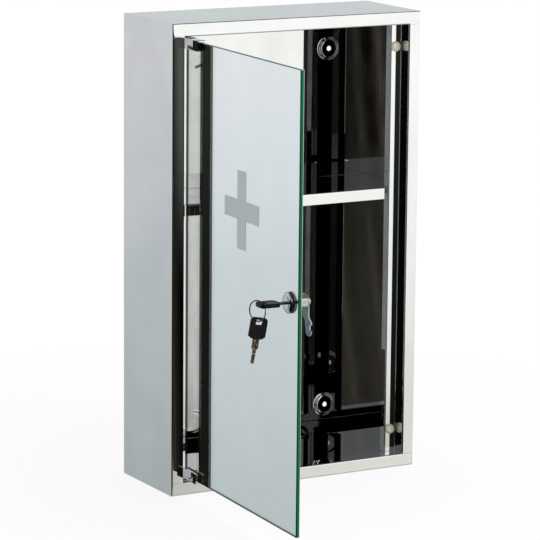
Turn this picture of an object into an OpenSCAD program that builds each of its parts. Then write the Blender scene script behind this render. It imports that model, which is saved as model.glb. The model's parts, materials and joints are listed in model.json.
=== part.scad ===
// Wall-hung lockable medicine cabinet in polished stainless sheet, with a pivoting mirror-glass
// door, a cam lock and two keys on a ring. Millimetres. The origin is the centre of the back face,
// +X to the right, +Y into the wall, +Z up. Door pieces are drawn closed and swung by on_door().

/* [Cabinet] */
// Outer width of the cabinet
cab_w = 298; // [270:1:340]
// Outer height of the cabinet
cab_h = 500; // [450:1:560]
// Outer depth of the cabinet
cab_d = 113; // [100:1:140]
// Thickness of the stainless sheet
sheet = 0.8; // [0.6:0.1:1.2]
// Outer bend radius of the folded edges
bend_r = 1.6; // [1.3:0.1:2]
// Width of the front flange round the door
flange_w = 14; // [12:0.1:18]
// Depth of the door recess behind the front flange
recess = 16.5; // [15:0.1:22]
// Width of the door stop on the lock side
stop_w = 12.3; // [11:0.1:16]
// Lean of the door stop, from its root to its free edge
stop_lean = 1; // [0:0.1:1.5]
// Depth of the fold behind the door stop, which the cam pulls on
stop_fold = 10; // [6:0.1:12]
// Radius of the relief notch at the inner corners of the flanges
notch_r = 0.9; // [0.5:0.1:1.5]

/* [Wall holes] */
// Distance between the wall holes across the cabinet
hole_span_x = 200; // [150:1:220]
// Distance between the wall holes up the cabinet
hole_span_z = 400; // [340:1:420]
// Diameter of a wall hole
wall_hole_d = 5.5; // [4.5:0.1:7]
// Diameter of the pressed boss round a wall hole, at its foot
boss_d = 25; // [20:0.5:30]
// Diameter of the flat top of the boss
boss_top_d = 20; // [15:0.5:21]
// Height of the boss, which stands into the cabinet
boss_h = 2.2; // [1.5:0.1:3]

/* [Shelf] */
// Height of the shelf's top above the cabinet's underside
shelf_z = 308; // [200:1:330]
// Height of the shelf's folded front lip
lip_h = 12.3; // [10:0.1:18]
// Depth of the fold along the shelf's sides and back
shelf_fold = 8; // [6:0.5:12]
// Gap between the shelf and the panels round it
shelf_gap = 0.4; // [0.3:0.1:1]
// Gap between the front lip and the door stop
lip_gap = 4.9; // [3:0.1:8]
// Length of a shelf support
support_l = 22; // [15:1:30]
// Width of a shelf support's foot
support_w = 7; // [5:0.5:8]

/* [Door glass] */
// Thickness of the glass
glass_t = 4; // [3:0.5:5]
// Gap between the glass and the flanges at its sides
side_gap = 1.5; // [1.2:0.1:2.5]
// Gap between the glass and the flanges at top and bottom
end_gap = 4.1; // [4:0.1:6]
// Thickness of the silver coat and its backing paint
coat_t = 0.2; // [0.1:0.05:0.3]
// Width of the plain rim that the coat leaves round the glass
coat_rim = 0.6; // [0.5:0.1:1]
// Length of the cross, tip to tip
cross_l = 80; // [50:1:110]
// Width of the cross's arms
cross_arm = 20; // [10:1:30]
// Height of the cross's centre above the middle of the door
cross_z = 74; // [60:1:100]
// Angle at which the door stands open
door_open = 93.4; // [70:0.1:110]

/* [Hinges] */
// Distance from the glass's edge to the pivot
pivot_in = 5.5; // [5.2:0.1:8]
// Distance of the pivot in front of the glass's face
pivot_front = 1.0; // [0.8:0.1:1.1]
// Diameter of the pivot pin
pin_d = 3; // [2.5:0.1:3.2]
// Length of a hinge clamp
clamp_l = 34; // [28:0.5:45]
// Distance from the glass's edge to the clamp's end
clamp_in = 1.0; // [0.5:0.1:1.8]
// Thickness of the clamp's legs
clamp_leg = 2.6; // [2.6:0.1:3.2]
// Thickness of the clamp's bridge over the glass's edge
clamp_bridge = 1.5; // [1.2:0.1:1.8]
// Height of glass that the clamp grips
clamp_grip = 9; // [8:0.1:14]
// Corner radius of the clamp's legs
clamp_r = 1.6; // [1:0.1:3]
// Thickness of the plastic liner between the clamp and the glass
liner_t = 0.4; // [0.3:0.1:0.5]
// Diameter of a clamp screw
screw_d = 3; // [2.5:0.1:4]
// Diameter of the bush's collar
collar_d = 7.2; // [6.5:0.1:9]
// Diameter of the bush's spigot in the flange
spigot_d = 5; // [4.5:0.1:6]

/* [Lock] */
// Distance from the lock's axis to the glass's free edge
lock_in = 21.4; // [20:0.1:24]
// Height of the lock's axis above the middle of the door
lock_z = 0.8; // [-20:0.1:40]
// Diameter of the lock's head
head_d = 22; // [20:0.1:24]
// Thickness of the lock's head in front of the glass
head_t = 2.4; // [1.5:0.1:4]
// Diameter of the lock's barrel
barrel_d = 16.8; // [15:0.1:17.5]
// Length of the barrel behind the glass's front face
barrel_l = 18; // [17.8:0.1:20]
// Diameter of the plug that the key turns
plug_d = 11; // [10:0.1:12]
// Width across the flats of the lock's nut
nut_af = 20; // [19:0.1:20.4]
// Thickness of the lock's nut
nut_t = 4; // [3:0.1:6]
// Thickness of the cam
cam_t = 1.6; // [1.2:0.1:2]
// Reach of the cam from the lock's axis
cam_reach = 35.4; // [31:0.1:35.5]
// Width of the cam
cam_w = 12; // [10:0.1:13]
// Set of the crank in the cam
cam_crank = 3.3; // [2:0.1:4]
// Diameter of the cam screw's head
cam_screw_d = 7; // [6:0.1:8]

/* [Keys] */
// Width of a key's plastic bow
bow_w = 18; // [16:0.5:22]
// Length of a key's bow
bow_l = 21.5; // [18:0.5:26]
// Thickness of a key's bow
bow_t = 4.2; // [3.4:0.1:5]
// Width of a key's blade
blade_w = 6.6; // [6:0.1:7.5]
// Thickness of a key's blade
blade_t = 1.9; // [1.5:0.1:2.2]
// Length of a key's blade outside the bow
blade_l = 24.5; // [20:0.5:28]
// Length of blade that shows when the key is in
blade_out = 8.4; // [6:0.1:9]
// Outer diameter of the key ring
ring_d = 22; // [21:0.5:25]
// Diameter of the ring's wire
wire_d = 1.5; // [1.2:0.1:1.8]

/* [Bumpers] */
// Diameter of a door bumper
bumper_d = 11; // [8:0.1:12]
// Height of a door bumper
bumper_h = 3.3; // [2.5:0.1:4]
// Distance of a bumper's centre from the flange at its end
bumper_end = 25; // [20:1:60]

/* [Clearances] */
// Clearance between pieces of different bodies
run_gap = 0.3; // [0.2:0.05:0.4]
// Radial clearance of a turning fit
turn_gap = 0.05; // [0.03:0.01:0.08]

/* [Hidden] */
$fn = 64;
soft_fn = 32;
eps = 0.01;

// cabinet box
xr = cab_w / 2;
zt = cab_h / 2;
yf = -cab_d;
bend_n = 6;
open_x = xr - flange_w;
open_z = zt - flange_w;
stop_y = yf + recess;
stop_x = open_x - stop_w;
fold_y = stop_y + stop_fold;
back_y = -sheet;
boss_wall = 0.3;

// shelf
shelf_top = shelf_z - zt;
shelf_x = xr - sheet - shelf_gap;
shelf_back = back_y - shelf_gap;
lip_y = stop_y + 1.2;
lip_x = stop_x - lip_gap;
notch_y = fold_y + shelf_gap;
support_z = shelf_top - shelf_fold;
support_h = 12;
support_ends = [lip_y + 14, back_y - 12];

// door, closed
glass_w = 2 * (open_x - side_gap);
glass_h = 2 * (open_z - end_gap);
glass_x0 = -open_x + side_gap;
glass_x1 = glass_x0 + glass_w;
glass_back = stop_y - bumper_h - run_gap;
glass_y = glass_back - glass_t;
pivot_x = glass_x0 + pivot_in;
pivot_y = glass_y - pivot_front;
lock_x = glass_x1 - lock_in;
cross_t = 0.15;

// hinge clamps
clamp_x = glass_x0 + clamp_in;
grip_y0 = glass_y - liner_t;
grip_y1 = glass_back + coat_t + liner_t;
grip_top = glass_h / 2 + liner_t;
clamp_top = grip_top + clamp_bridge;
clamp_low = glass_h / 2 - clamp_grip;
shoulder_t = 0.8;
shoulder_d = 6;
collar_t = open_z - clamp_top - shoulder_t - run_gap;
pin_tail = 1.6;
screw_inset = 9;
screw_head_d = 5.6;
screw_head_t = 1.4;
screw_slot = 0.9;

// lock; places along the lock's axis count from the glass's front face into the cabinet
gasket_t = 0.5;
head_back = -gasket_t;
head_front = head_back - head_t;
head_edge = 0.9;
hole_d = barrel_d + 1.2;
washer_t = 1;
washer_d = nut_af + 1.6;
washer_z = glass_t + coat_t;
nut_z = washer_z + washer_t;
flat_af = barrel_d - 2.6;
lip_r = plug_d / 2 + 0.9;
plug_proud = 0.3;
plug_lip = 1.3;
cam_z = barrel_l + run_gap;
tang_w = 6;
tang_gap = 0.05;
tang_l = cam_t - 0.1;
cam_head_w = cam_w + 1.5;
cam_bend = 15;
cam_bend_l = 6.5;
cam_notch = 23.5;
cam_notch_w = 3.4;
cam_washer_t = 0.8;
cam_screw_t = 2;
cam_screw_w = 2;
blade_in = blade_l - blade_out;
keyway_gap = 0.15;
keyway_l = blade_in + 0.4;
cam_screw_l = barrel_l + run_gap - (head_front + keyway_l) - 0.6;

// keys; a key is drawn with its shoulder at the origin, blade along +Y, bow along -Y
tip_l = 3;
bow_corner = 4;
bow_slope = 4;
slot_w = 8.2;
slot_h = 5;
bar_h = 2.4;
bow_wrap = 5;
groove_w = 1.2;
groove_d = 0.4;
key_y = head_front - blade_out;
ring_r = (ring_d - wire_d) / 2;
ring_yaw = 24;
ring_in = 0.6;
ring_bite = (bow_w - slot_w) / 2 / cos(ring_yaw) - 0.28 * bow_corner;
ring_x = -slot_w / 2 - cos(ring_yaw) * ring_bite / 2;
ring_y = key_y - bow_l + bar_h + ring_in - sin(ring_yaw) * ring_bite / 2;
ring_z = bow_t / 2 + run_gap - sqrt(pow(ring_r - wire_d / 2, 2) - pow(ring_bite / 2, 2));
spare_yaw = 93;
spare_tilt = 10.5;
spare_off = 2;
spare_gap = 0.8;

// ---- shared shapes ----

function unit(v) = v / norm(v);

// The left-hand normal of the way from a to b
function left_of(a, b) = let (d = unit(b - a)) [-d[1], d[0]];

// Positive where the path turns left at b
function bend_way(a, b, c) = (b[0] - a[0]) * (c[1] - b[1]) - (b[1] - a[1]) * (c[0] - b[0]);

// Points that round the corner b between a and c with radius r
function rounded(a, b, c, r) =
    let (u = unit(a - b), v = unit(c - b), half = acos(u * v) / 2,
         m = b + unit(u + v) * r / sin(half),
         p = b + u * r / tan(half), q = b + v * r / tan(half),
         a0 = atan2(p[1] - m[1], p[0] - m[0]), a1 = atan2(q[1] - m[1], q[0] - m[0]),
         turn = a1 - a0 > 180 ? a1 - a0 - 360 : a1 - a0 < -180 ? a1 - a0 + 360 : a1 - a0)
    [for (i = [0:bend_n]) m + r * [cos(a0 + turn * i / bend_n), sin(a0 + turn * i / bend_n)]];

// The corners of a path moved to its left by off
function moved(points, off) = [
    for (i = [0:len(points) - 1])
        let (n0 = i > 0 ? left_of(points[i - 1], points[i]) : left_of(points[0], points[1]),
             n1 = i < len(points) - 1 ? left_of(points[i], points[i + 1]) : n0)
        points[i] + (n0 + n1) / (1 + n0 * n1) * off
];

// One face of a folded strip, with its corners rounded; out is the radius where the path turns left
function face(points, out, in) = [
    points[0],
    for (i = [1:len(points) - 2])
        each rounded(points[i - 1], points[i], points[i + 1],
                     bend_way(points[i - 1], points[i], points[i + 1]) > 0 ? out : in),
    points[len(points) - 1]
];

function flipped(v) = [for (i = [len(v) - 1:-1:0]) v[i]];

// A strip of sheet that follows a path of outer corners; the sheet lies to the left of the path
module folded(points) {
    polygon(concat(face(points, bend_r, bend_r - sheet),
                   flipped(face(moved(points, sheet), bend_r - sheet, bend_r))));
}

// Draws a YZ section, centred along X with length w
module across(w) {
    rotate([90, 0, 90])
        linear_extrude(w, center = true)
            children();
}

// The plan of the cabinet, with its front edges rounded as the sides are bent
module plan() {
    difference() {
        translate([-xr, yf])
            square([cab_w, cab_d]);
        for (s = [-1, 1])
            translate([s * xr, yf])
                difference() {
                    square(2 * bend_r, center = true);
                    translate([-s * bend_r, bend_r])
                        circle(bend_r);
                }
    }
}

// A ring or disc along +Z from z0 to z1
module band(d_out, d_in, z0, z1) {
    translate([0, 0, z0])
        difference() {
            cylinder(d = d_out, h = z1 - z0);
            if (d_in > 0)
                translate([0, 0, -eps])
                    cylinder(d = d_in, h = z1 - z0 + 2 * eps);
        }
}

// Puts a piece drawn with the door closed where the open door holds it
module on_door() {
    translate([pivot_x, pivot_y, 0])
        rotate(-door_open)
            translate([-pivot_x, -pivot_y, 0])
                children();
}

// Turns a piece drawn along +Z so that it lies along the lock's axis, from the glass's front face
module on_lock() {
    on_door()
        translate([lock_x, glass_y, lock_z])
            rotate([-90, 0, 0])
                children();
}

// Puts a piece drawn about the lock's axis, with +Y into the cabinet and +Z up, at the lock
module at_lock() {
    on_door()
        translate([lock_x, glass_y, lock_z])
            children();
}

// ---- cabinet ----

// The folded section of a side: stop and its fold, recess wall, front flange, outer side
side_path = [
    [stop_x, fold_y], [stop_x, stop_y + stop_lean], [open_x, stop_y], [open_x, yf],
    [xr, yf], [xr, 0]
];
plain_path = [[open_x, stop_y], [open_x, yf], [xr, yf], [xr, 0]];

// A side of the cabinet, drawn on the right
module side(path) {
    difference() {
        union() {
            linear_extrude(2 * open_z, center = true)
                folded(path);
            linear_extrude(2 * (zt - sheet), center = true)
                intersection() {
                    folded(path);
                    translate([xr - sheet, yf + sheet])
                        square([sheet, cab_d]);
                }
        }
        corner_notches();
    }
}

// The small relief holes at the inner corners of the flanges
module corner_notches() {
    for (x = [-open_x, open_x], z = [-open_z, open_z])
        translate([x, yf - eps, z])
            rotate([-90, 0, 0])
                cylinder(r = notch_r, h = bend_r);
}

// The top or bottom of the cabinet, drawn at the top
module lid() {
    difference() {
        intersection() {
            union() {
                across(2 * (open_x + sheet))
                    folded([[0, zt], [yf, zt], [yf, open_z], [stop_y, open_z]]);
                across(cab_w)
                    folded([[0, zt], [yf, zt], [yf, open_z + bend_r]]);
                for (s = [-1, 1])
                    translate([s * (open_x + sheet + xr) / 2, yf + sheet / 2, open_z + bend_r / 2])
                        cube([xr - open_x - sheet, sheet, bend_r], center = true);
            }
            linear_extrude(2 * zt, center = true)
                plan();
        }
        corner_notches();
        translate([pivot_x, pivot_y, open_z - eps])
            cylinder(d = spigot_d, h = sheet + 2 * eps);
    }
}

module left_side() {
    color("Gainsboro")
        mirror([1, 0, 0])
            side(plain_path);
}

module right_side() {
    color("Gainsboro")
        side(side_path);
}

module top_panel() {
    color("Gainsboro")
        lid();
}

module bottom_panel() {
    color("Gainsboro")
        mirror([0, 0, 1])
            lid();
}

// A boss pressed into the back round a wall hole, drawn along +Z from the back's rear face
module boss() {
    rotate_extrude()
        polygon([
            [wall_hole_d / 2, boss_h], [boss_top_d / 2 - boss_wall, boss_h],
            [boss_d / 2 - boss_wall, 0], [boss_d / 2 + eps, 0], [boss_d / 2 + eps, sheet],
            [boss_d / 2, sheet], [boss_top_d / 2, boss_h + sheet],
            [wall_hole_d / 2, boss_h + sheet]
        ]);
}

module back_panel() {
    color("LightGray")
        union() {
            difference() {
                translate([-xr + sheet, back_y, -zt + sheet])
                    cube([cab_w - 2 * sheet, sheet, cab_h - 2 * sheet]);
                at_wall_holes()
                    translate([0, 0, -eps])
                        cylinder(d = boss_d, h = sheet + 2 * eps);
            }
            at_wall_holes()
                boss();
        }
}

// Repeats a piece drawn along +Z at each wall hole, standing into the cabinet
module at_wall_holes() {
    for (x = [-1, 1], z = [-1, 1])
        translate([x * hole_span_x / 2, 0, z * hole_span_z / 2])
            rotate([90, 0, 0])
                children();
}

module shelf() {
    color("Gainsboro")
        union() {
            translate([(lip_x - shelf_x) / 2, 0, 0])
                across(lip_x + shelf_x)
                    folded([
                        [shelf_back, support_z], [shelf_back, shelf_top],
                        [lip_y, shelf_top], [lip_y, shelf_top - lip_h]
                    ]);
            translate([(lip_x + shelf_x) / 2, 0, 0])
                across(shelf_x - lip_x)
                    folded([
                        [shelf_back, support_z], [shelf_back, shelf_top],
                        [notch_y, shelf_top], [notch_y, support_z]
                    ]);
            shelf_side(-1, lip_y + bend_r);
            shelf_side(1, notch_y + bend_r);
        }
}

// The fold down one side of the shelf, from y0 to the back
module shelf_side(s, y0) {
    translate([s > 0 ? shelf_x - sheet : -shelf_x, y0, support_z])
        cube([sheet, shelf_back - bend_r - y0, shelf_fold - sheet]);
}

// Four welded angles that carry the shelf's side folds
module shelf_supports() {
    color("Silver")
        for (s = [-1, 1], i = [0, 1])
            mirror([s < 0 ? 1 : 0, 0, 0])
                translate([0, i == 0 ? notch_y + 6 : back_y - 12 - support_l, 0]) {
                    translate([xr - sheet - support_w, 0, support_z - sheet])
                        cube([support_w, support_l, sheet]);
                    translate([xr - 2 * sheet, 0, support_z - support_h])
                        cube([sheet, support_l, support_h]);
                }
}

// A soft stop that the door glass meets, along -Y from the stop strip
module bumper(z) {
    base = bumper_h * 0.4;
    nose = bumper_d * 0.36;
    color("Cornsilk")
        translate([(stop_x + open_x) / 2, stop_y + stop_lean / 2, z])
            rotate([90, 0, -atan(stop_lean / stop_w)])
                rotate_extrude()
                    polygon([
                        [0, 0], [bumper_d / 2, 0], [bumper_d / 2, base],
                        [nose + 0.4, bumper_h - 0.6], [nose - 0.4, bumper_h - 0.1],
                        [nose - 1.4, bumper_h], [0, bumper_h]
                    ]);
}

module top_bumper() {
    bumper(open_z - bumper_end);
}

module bottom_bumper() {
    bumper(-open_z + bumper_end);
}

// The nylon bush in the flange's return that the pivot pin turns in, drawn at the top
module bush() {
    color("WhiteSmoke")
        translate([pivot_x, pivot_y, open_z])
            difference() {
                union() {
                    translate([0, 0, -collar_t])
                        cylinder(d = collar_d, h = collar_t);
                    cylinder(d = spigot_d, h = sheet + 0.4);
                }
                translate([0, 0, -collar_t - eps])
                    cylinder(d = pin_d + 2 * turn_gap, h = collar_t + sheet + 0.4 + 2 * eps);
            }
}

module top_bush() {
    bush();
}

module bottom_bush() {
    mirror([0, 0, 1])
        bush();
}

// ---- door ----

module door_glass() {
    color("MediumSeaGreen")
        on_door()
            difference() {
                translate([glass_x0, glass_y, -glass_h / 2])
                    cube([glass_w, glass_t, glass_h]);
                translate([lock_x, glass_y - eps, lock_z])
                    rotate([-90, 0, 0])
                        cylinder(d = hole_d, h = glass_t + 2 * eps);
            }
}

module mirror_coat() {
    color("LightSteelBlue")
        on_door()
            difference() {
                translate([glass_x0 + coat_rim, glass_back, -glass_h / 2 + coat_rim])
                    cube([glass_w - 2 * coat_rim, coat_t, glass_h - 2 * coat_rim]);
                translate([lock_x, glass_back - eps, lock_z])
                    rotate([-90, 0, 0])
                        cylinder(d = hole_d + 1, h = coat_t + 2 * eps);
            }
}

module cross() {
    color("White")
        on_door()
            translate([glass_x0 + glass_w / 2, glass_y, cross_z])
                rotate([90, 0, 0])
                    linear_extrude(cross_t) {
                        square([cross_arm, cross_l], center = true);
                        square([cross_l, cross_arm], center = true);
                    }
}

// A rectangle in XZ from the clamp's end, with its corners rounded, drawn through the door in Y
module clamp_outline(z0, z1, r) {
    translate([clamp_x, 0, z0])
        rotate([90, 0, 0])
            translate([0, 0, -back_y - stop_y - cab_d])
                linear_extrude(2 * cab_d)
                    difference() {
                        square([clamp_l, z1 - z0]);
                        for (x = [0, clamp_l])
                            translate([x, 0])
                                difference() {
                                    square(2 * r, center = true);
                                    translate([x > 0 ? -r : r, r])
                                        circle(r);
                                }
                    }
}

// The chrome clamp on the hinge side, a channel over the glass's edge, drawn at the top
module clamp() {
    color("LightGray")
        on_door()
            difference() {
                intersection() {
                    translate([clamp_x + clamp_l / 2, 0, 0])
                        across(clamp_l)
                            difference() {
                                translate([grip_y0 - clamp_leg, clamp_low])
                                    square([grip_y1 - grip_y0 + 2 * clamp_leg, clamp_top - clamp_low]);
                                translate([grip_y0, clamp_low - eps])
                                    square([grip_y1 - grip_y0, grip_top - clamp_low + eps]);
                            }
                    clamp_outline(clamp_low, clamp_top, clamp_r);
                }
                translate([pivot_x, pivot_y, grip_top - eps])
                    cylinder(d = pin_d, h = clamp_bridge + 2 * eps);
                at_clamp_screws(grip_y1 - eps)
                    cylinder(d = screw_d, h = clamp_leg + 2 * eps);
            }
}

// Repeats a piece drawn along +Z at each screw of the upper clamp, from the depth y
module at_clamp_screws(y) {
    for (x = [screw_inset, clamp_l - screw_inset])
        translate([clamp_x + x, y, glass_h / 2 - clamp_grip / 2])
            rotate([-90, 0, 0])
                children();
}

module liner() {
    color("DimGray")
        on_door()
            intersection() {
                translate([clamp_x + clamp_l / 2, 0, 0])
                    across(clamp_l)
                        difference() {
                            translate([grip_y0, clamp_low])
                                square([grip_y1 - grip_y0, grip_top - clamp_low]);
                            translate([glass_y, clamp_low - eps])
                                square([glass_t, clamp_grip + eps]);
                            translate([glass_back, clamp_low - eps])
                                square([coat_t, clamp_grip - coat_rim + eps]);
                        }
                clamp_outline(clamp_low, grip_top, clamp_r);
            }
}

module pivot_pin() {
    color("Silver")
        on_door()
            translate([pivot_x, pivot_y, 0]) {
                translate([0, 0, grip_top])
                    cylinder(d = pin_d, h = open_z + sheet + pin_tail - grip_top);
                translate([0, 0, clamp_top])
                    cylinder(d = shoulder_d, h = shoulder_t);
            }
}

module top_clamp() {
    clamp();
}

module bottom_clamp() {
    mirror([0, 0, 1])
        clamp();
}

module top_liner() {
    liner();
}

module bottom_liner() {
    mirror([0, 0, 1])
        liner();
}

module top_pivot_pin() {
    pivot_pin();
}

module bottom_pivot_pin() {
    mirror([0, 0, 1])
        pivot_pin();
}

// The four screws in the rear legs of the clamps, which press on the liners
module clamp_screws() {
    color("Silver")
        for (m = [0, 1])
            mirror([0, 0, m])
                on_door()
                    at_clamp_screws(grip_y1)
                        difference() {
                            union() {
                                cylinder(d = screw_d, h = clamp_leg + eps);
                                band(screw_head_d, 0, clamp_leg, clamp_leg + screw_head_t);
                            }
                            translate([0, 0, clamp_leg + screw_head_t])
                                cube([screw_head_d + eps, screw_slot, screw_head_t], center = true);
                        }
}

// ---- lock ----

module lock_body() {
    r = head_d / 2;
    color("Silver")
        on_lock()
            difference() {
                union() {
                    rotate_extrude()
                        polygon([
                            [0, head_back], [r, head_back], [r, head_front + head_edge],
                            [r - head_edge / 3, head_front + head_edge / 3],
                            [r - head_edge, head_front], [0, head_front]
                        ]);
                    intersection() {
                        band(barrel_d, 0, head_back, barrel_l);
                        cube([flat_af, barrel_d + eps, 3 * barrel_l], center = true);
                    }
                }
                translate([0, 0, head_front - eps])
                    cylinder(d = plug_d + 2 * turn_gap, h = barrel_l - head_front + 2 * eps);
                translate([0, 0, head_front - eps])
                    cylinder(r = lip_r + turn_gap, h = plug_lip - plug_proud + run_gap + eps);
            }
}

module lock_nut() {
    color("Silver")
        on_lock()
            difference() {
                translate([0, 0, nut_z])
                    rotate(30)
                        cylinder(d = nut_af / cos(30), h = nut_t, $fn = 6);
                translate([0, 0, nut_z - eps])
                    cylinder(d = barrel_d, h = nut_t + 2 * eps);
            }
}

module lock_washer() {
    color("LightSteelBlue")
        on_lock()
            band(washer_d, barrel_d, washer_z, nut_z);
}

module lock_gasket() {
    color("DarkSlateGray")
        on_lock()
            band(head_d - 0.6, barrel_d, head_back, 0);
}

module lock_plug() {
    front = head_front - plug_proud;
    color("LightGray")
        on_lock()
            difference() {
                union() {
                    band(plug_d, 0, front, cam_z);
                    band(2 * lip_r, 0, front, front + plug_lip);
                    translate([0, 0, cam_z + tang_l / 2])
                        cube([tang_w, tang_w, tang_l + eps], center = true);
                }
                translate([0, 0, head_front + keyway_l / 2])
                    cube([blade_w + 2 * keyway_gap, blade_t + 2 * keyway_gap,
                          keyway_l], center = true);
                translate([0, 0, front])
                    cube([blade_w + 2 * keyway_gap, blade_t + 2 * keyway_gap,
                          2 * plug_proud + eps], center = true);
                translate([0, 0, cam_z - cam_screw_l])
                    cylinder(d = screw_d, h = cam_screw_l + tang_l + eps);
            }
}

// The cam seen along the lock's axis, reaching along +Y
module cam_outline() {
    difference() {
        union() {
            circle(d = cam_head_w);
            translate([-cam_w / 2, 0])
                square([cam_w, cam_reach - cam_w / 2]);
            translate([0, cam_reach - cam_w / 2])
                circle(d = cam_w);
        }
        translate([cam_w / 2 - cam_notch_w, cam_notch])
            square([cam_w, cam_reach - cam_w / 2 - cam_notch]);
        translate([-tang_w / 2 - tang_gap, -tang_w / 2 - tang_gap])
            square(tang_w + 2 * tang_gap);
    }
}

module cam() {
    c0 = cam_bend + cam_bend_l;
    color("Silver")
        on_lock()
            intersection() {
                translate([0, 0, cam_z])
                    across(2 * cam_w)
                        polygon([
                            [-cam_w, 0], [cam_bend, 0], [c0, cam_crank], [cam_reach, cam_crank],
                            [cam_reach, cam_crank + cam_t], [c0, cam_crank + cam_t],
                            [cam_bend, cam_t], [-cam_w, cam_t]
                        ]);
                linear_extrude(3 * barrel_l)
                    cam_outline();
            }
}

module cam_washer() {
    color("LightSteelBlue")
        on_lock()
            band(tang_w + 4, screw_d, cam_z + cam_t, cam_z + cam_t + cam_washer_t);
}

module cam_screw() {
    z = cam_z + cam_t + cam_washer_t;
    color("Silver")
        on_lock()
            difference() {
                union() {
                    band(screw_d, 0, cam_z - cam_screw_l, z + eps);
                    band(cam_screw_d, 0, z, z + cam_screw_t);
                }
                for (a = [0, 90])
                    rotate(a)
                        translate([0, 0, z + cam_screw_t])
                            cube([cam_screw_d * 0.6, screw_slot, cam_screw_t], center = true);
            }
}

// ---- keys ----

// The flat outline of a key's bow, with its shoulder at the origin and its slot near the far end
module bow_outline() {
    h = bow_w / 2;
    difference() {
        polygon([
            [-h + bow_slope, 0], [-h, -bow_slope * 0.6],
            each rounded([-h, 0], [-h, -bow_l], [h, -bow_l], bow_corner),
            each rounded([-h, -bow_l], [h, -bow_l], [h, 0], bow_corner),
            [h, -bow_slope * 0.6], [h - bow_slope, 0]
        ]);
        translate([-slot_w / 2, -bow_l + bar_h])
            square([slot_w, slot_h]);
    }
}

module bow() {
    color("DimGray")
        difference() {
            translate([0, 0, -bow_t / 2])
                linear_extrude(bow_t)
                    bow_outline();
            translate([-blade_w / 2, -bow_wrap, -blade_t / 2])
                cube([blade_w, bow_wrap + eps, blade_t]);
        }
}

// A key's blade, with a groove along each flat and a tapered tip
module blade() {
    h = blade_w / 2;
    color("BurlyWood")
        difference() {
            translate([0, 0, -blade_t / 2])
                linear_extrude(blade_t)
                    polygon([
                        [-h, -bow_wrap], [-h, blade_l - tip_l], [-h * 0.4, blade_l],
                        [h * 0.4, blade_l], [h, blade_l - tip_l], [h, -bow_wrap]
                    ]);
            for (s = [-1, 1])
                translate([s * h * 0.25 - groove_w / 2, 0, s > 0 ? blade_t / 2 - groove_d : -blade_t / 2])
                    cube([groove_w, blade_l + eps, groove_d]);
        }
}

module key_blade() {
    at_lock()
        translate([0, key_y, 0])
            blade();
}

module key_bow() {
    at_lock()
        translate([0, key_y, 0])
            bow();
}

module key_ring() {
    color("Silver")
        at_lock()
            translate([ring_x, ring_y, ring_z])
                rotate([90, 0, ring_yaw])
                    rotate_extrude()
                        translate([ring_r, 0])
                            circle(d = wire_d);
}

// Hangs a key, blade down, with the ring's wire near one end of its slot
module on_ring() {
    at_lock()
        translate([ring_x, ring_y, ring_z - ring_r])
            rotate([0, 0, spare_yaw])
                rotate([0, spare_tilt, 0])
                    translate([spare_off, 0, wire_d / 2 + spare_gap + bar_h - bow_l])
                        rotate([-90, 0, 0])
                            children();
}

module spare_key_blade() {
    on_ring()
        blade();
}

module spare_key_bow() {
    on_ring()
        bow();
}

left_side();
right_side();
top_panel();
bottom_panel();
back_panel();
shelf();
shelf_supports();
top_bumper();
bottom_bumper();
top_bush();
bottom_bush();
door_glass();
mirror_coat();
cross();
top_clamp();
bottom_clamp();
top_liner();
bottom_liner();
top_pivot_pin();
bottom_pivot_pin();
clamp_screws();
lock_body();
lock_nut();
lock_washer();
lock_gasket();
lock_plug();
cam();
cam_washer();
cam_screw();
key_blade();
key_bow();
key_ring();
spare_key_blade();
spare_key_bow();
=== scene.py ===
import json
import math

import bmesh
import bpy
from mathutils import Matrix, Vector

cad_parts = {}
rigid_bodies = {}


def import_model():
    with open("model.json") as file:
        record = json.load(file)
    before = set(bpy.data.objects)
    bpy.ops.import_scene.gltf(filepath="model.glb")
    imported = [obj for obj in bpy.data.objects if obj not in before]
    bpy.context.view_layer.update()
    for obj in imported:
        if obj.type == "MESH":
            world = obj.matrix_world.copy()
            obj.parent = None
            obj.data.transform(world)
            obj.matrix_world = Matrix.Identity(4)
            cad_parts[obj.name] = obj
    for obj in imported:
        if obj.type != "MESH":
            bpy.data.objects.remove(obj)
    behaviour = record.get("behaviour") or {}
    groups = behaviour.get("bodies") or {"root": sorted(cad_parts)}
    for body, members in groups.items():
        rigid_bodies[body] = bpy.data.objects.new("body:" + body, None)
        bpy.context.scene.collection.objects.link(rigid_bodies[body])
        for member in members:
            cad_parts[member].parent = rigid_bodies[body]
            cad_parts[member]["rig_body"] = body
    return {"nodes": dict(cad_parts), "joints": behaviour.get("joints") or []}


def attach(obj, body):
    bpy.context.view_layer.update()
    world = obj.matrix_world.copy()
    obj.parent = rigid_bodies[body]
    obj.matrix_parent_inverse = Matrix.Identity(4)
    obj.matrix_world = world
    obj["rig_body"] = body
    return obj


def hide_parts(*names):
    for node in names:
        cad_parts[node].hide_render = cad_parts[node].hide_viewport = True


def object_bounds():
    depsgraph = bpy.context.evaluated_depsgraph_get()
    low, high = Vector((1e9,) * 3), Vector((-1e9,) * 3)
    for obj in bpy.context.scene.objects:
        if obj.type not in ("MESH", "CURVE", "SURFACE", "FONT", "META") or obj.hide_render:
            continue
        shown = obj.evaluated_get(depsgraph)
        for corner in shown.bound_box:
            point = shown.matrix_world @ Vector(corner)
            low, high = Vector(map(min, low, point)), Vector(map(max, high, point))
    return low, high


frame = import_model()
cad_low, cad_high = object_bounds()
NODES = frame["nodes"]
JOINTS = {joint["name"]: joint for joint in frame["joints"]}
MM = 0.001
UP = Vector((0, 0, 1))

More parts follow.
